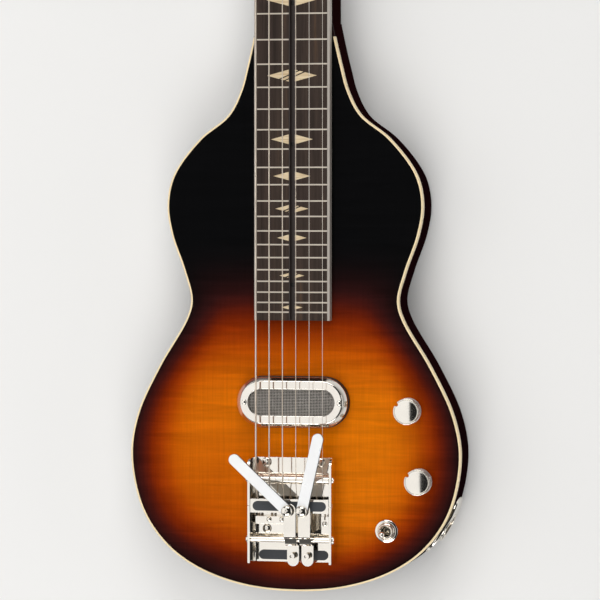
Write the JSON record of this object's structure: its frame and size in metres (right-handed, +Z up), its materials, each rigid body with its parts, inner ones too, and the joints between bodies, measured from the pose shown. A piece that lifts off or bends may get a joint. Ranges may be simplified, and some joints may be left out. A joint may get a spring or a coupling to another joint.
{
  "type": "lap steel guitar",
  "caption": "Lap steel guitar with a waisted sunburst body, fretless marked board, sliding capo, mesh-window pickup and a palm-lever string-bender bridge.",
  "frame": {"origin": "on the flat back, on the centre line, below the bridge end of the scale", "axes": "+Y towards the headstock, +X towards the thin strings, +Z up from the back to the strings"},
  "size_m": [0.2772, 0.8997, 0.0787],
  "materials": {
    "dark_lacquer": "high gloss dark lacquer",
    "sunburst_top": "high gloss sunburst over flamed maple",
    "cream_binding": "gloss",
    "rosewood": "oiled, satin",
    "pearl": "polished",
    "rail_alloy": "dark anodised, satin",
    "nickel": "polished nickel plate",
    "satin_steel": "satin polished",
    "mesh_steel": "dark woven wire",
    "black_plastic": "satin",
    "black_rubber": "matt",
    "wound_steel": "round wound wire",
    "plain_steel": "drawn wire"
  },
  "bodies": {
    "instrument": {"body_shell": "dark_lacquer", "body_top": "sunburst_top", "body_binding": "cream_binding", "neck": "dark_lacquer", "fingerboard": "rosewood", "board_binding_bass": "cream_binding", "board_binding_treble": "cream_binding", "nut": "pearl", "capo_rail": "rail_alloy", "tuner_plate_bass": "nickel", "tuner_plate_treble": "nickel", "pickup_cover": "nickel", "pickup_mesh": "mesh_steel", "pickup_coil": "black_plastic", "control_cover": "black_plastic", "volume_pot": "satin_steel", "tone_pot": "satin_steel", "toggle_switch": "nickel", "jack_plate": "nickel", "jack_socket": "nickel", "bridge_base": "nickel", "roller_axle": "nickel", "bender_axle": "nickel", "cross_bar": "nickel", "upper_pad": "black_rubber", "lower_pad": "black_rubber", "bass_anchor": "nickel", "treble_anchor": "nickel", "string_1": "wound_steel", "string_2": "wound_steel", "string_3": "wound_steel", "string_4": "wound_steel", "string_5": "plain_steel", "string_6": "plain_steel"},
    "capo": {"capo_carriage": "nickel"},
    "capo_clamp": {"capo_clamp_bar": "nickel"},
    "capo_screw": {"capo_thumbscrew": "nickel"},
    "post_1": {"tuner_post_1": "nickel"},
    "post_2": {"tuner_post_2": "nickel"},
    "post_3": {"tuner_post_3": "nickel"},
    "post_4": {"tuner_post_4": "nickel"},
    "post_5": {"tuner_post_5": "nickel"},
    "post_6": {"tuner_post_6": "nickel"},
    "button_1": {"tuner_button_1": "nickel"},
    "button_2": {"tuner_button_2": "nickel"},
    "button_3": {"tuner_button_3": "nickel"},
    "button_4": {"tuner_button_4": "nickel"},
    "button_5": {"tuner_button_5": "nickel"},
    "button_6": {"tuner_button_6": "nickel"},
    "volume_knob": {"volume_knob": "nickel"},
    "tone_knob": {"tone_knob": "nickel"},
    "toggle_lever": {"toggle_lever": "nickel"},
    "saddle_roller": {"saddle_roller": "nickel"},
    "bender_1": {"bender_arm_1": "nickel", "dome_screw_1": "nickel"},
    "bender_2": {"bender_arm_2": "nickel", "dome_screw_2": "nickel"},
    "lever_1": {"palm_lever_1": "satin_steel"},
    "lever_2": {"palm_lever_2": "satin_steel"}
  },
  "joints": [
    {"name": "capo_slide", "type": "slide", "parent": "instrument", "child": "capo", "axis": [0, -1, 0], "range_m": [0, 0.47]},
    {"name": "capo_screw_turn", "type": "hinge", "parent": "capo", "child": "capo_screw", "pos_m": [0, 0.6195, 0.0644], "axis": [0, 0, -1], "range_deg": [0, 720]},
    {"name": "capo_clamp_slide", "type": "slide", "parent": "capo", "child": "capo_clamp", "axis": [0, 0, -1], "range_m": [0, 0.0012]},
    {"name": "button_1_turn", "type": "hinge", "parent": "instrument", "child": "button_1", "pos_m": [-0.055, 0.6735, 0.0209], "axis": [1, 0, 0], "continuous": true},
    {"name": "post_1_turn", "type": "hinge", "parent": "instrument", "child": "post_1", "pos_m": [-0.031, 0.68, 0.045], "axis": [0, 0, 1], "continuous": true},
    {"name": "button_2_turn", "type": "hinge", "parent": "instrument", "child": "button_2", "pos_m": [-0.052, 0.7135, 0.0209], "axis": [1, 0, 0], "continuous": true},
    {"name": "post_2_turn", "type": "hinge", "parent": "instrument", "child": "post_2", "pos_m": [-0.028, 0.72, 0.045], "axis": [0, 0, 1], "continuous": true},
    {"name": "button_3_turn", "type": "hinge", "parent": "instrument", "child": "button_3", "pos_m": [-0.049, 0.7535, 0.0209], "axis": [1, 0, 0], "continuous": true},
    {"name": "post_3_turn", "type": "hinge", "parent": "instrument", "child": "post_3", "pos_m": [-0.025, 0.76, 0.045], "axis": [0, 0, 1], "continuous": true},
    {"name": "button_4_turn", "type": "hinge", "parent": "instrument", "child": "button_4", "pos_m": [0.055, 0.6735, 0.0209], "axis": [1, 0, 0], "continuous": true},
    {"name": "post_4_turn", "type": "hinge", "parent": "instrument", "child": "post_4", "pos_m": [0.031, 0.68, 0.045], "axis": [0, 0, 1], "continuous": true},
    {"name": "button_5_turn", "type": "hinge", "parent": "instrument", "child": "button_5", "pos_m": [0.052, 0.7135, 0.0209], "axis": [1, 0, 0], "continuous": true},
    {"name": "post_5_turn", "type": "hinge", "parent": "instrument", "child": "post_5", "pos_m": [0.028, 0.72, 0.045], "axis": [0, 0, 1], "continuous": true},
    {"name": "button_6_turn", "type": "hinge", "parent": "instrument", "child": "button_6", "pos_m": [0.049, 0.7535, 0.0209], "axis": [1, 0, 0], "continuous": true},
    {"name": "post_6_turn", "type": "hinge", "parent": "instrument", "child": "post_6", "pos_m": [0.025, 0.76, 0.045], "axis": [0, 0, 1], "continuous": true},
    {"name": "volume_turn", "type": "hinge", "parent": "instrument", "child": "volume_knob", "pos_m": [0.096, 0.0535, 0.045], "axis": [0, 0, 1], "range_deg": [-150, 150]},
    {"name": "tone_turn", "type": "hinge", "parent": "instrument", "child": "tone_knob", "pos_m": [0.105, -0.004, 0.045], "axis": [0, 0, 1], "range_deg": [-150, 150]},
    {"name": "toggle_tilt", "type": "hinge", "parent": "instrument", "child": "toggle_lever", "pos_m": [0.0774, -0.0455, 0.042], "axis": [0.7071, -0.7071, 0], "range_deg": [-24, 0]},
    {"name": "roller_spin", "type": "hinge", "parent": "instrument", "child": "saddle_roller", "pos_m": [0, -0.0033, 0.0609], "axis": [1, 0, 0], "continuous": true},
    {"name": "bender_1_pull", "type": "hinge", "parent": "instrument", "child": "bender_1", "pos_m": [0.0015, -0.0524, 0.06], "axis": [-1, 0, 0], "range_deg": [0, 2.5], "stiffness_Nm_per_rad": 3, "springref_deg": -8.59, "deforming": ["string_4"]},
    {"name": "bender_2_pull", "type": "hinge", "parent": "instrument", "child": "bender_2", "pos_m": [0.0136, -0.0524, 0.06], "axis": [-1, 0, 0], "range_deg": [0, 2.5], "stiffness_Nm_per_rad": 3, "springref_deg": -8.59, "deforming": ["string_5"]},
    {"name": "lever_1_swing", "type": "hinge", "parent": "bender_1", "child": "lever_1", "pos_m": [-0.0001, -0.028, 0.07], "axis": [0, 0, 1], "range_deg": [-40, 40]},
    {"name": "lever_2_swing", "type": "hinge", "parent": "bender_2", "child": "lever_2", "pos_m": [0.012, -0.028, 0.07], "axis": [0, 0, 1], "range_deg": [-40, 32]}
  ],
  "couplings": [
    {"joint": "capo_screw_turn", "follows": "capo_clamp_slide", "rad_per_m": 10472},
    {"joint": "post_1_turn", "follows": "button_1_turn", "ratio": 0.06667},
    {"joint": "post_2_turn", "follows": "button_2_turn", "ratio": 0.06667},
    {"joint": "post_3_turn", "follows": "button_3_turn", "ratio": 0.06667},
    {"joint": "post_4_turn", "follows": "button_4_turn", "ratio": 0.06667},
    {"joint": "post_5_turn", "follows": "button_5_turn", "ratio": 0.06667},
    {"joint": "post_6_turn", "follows": "button_6_turn", "ratio": 0.06667}
  ]
}
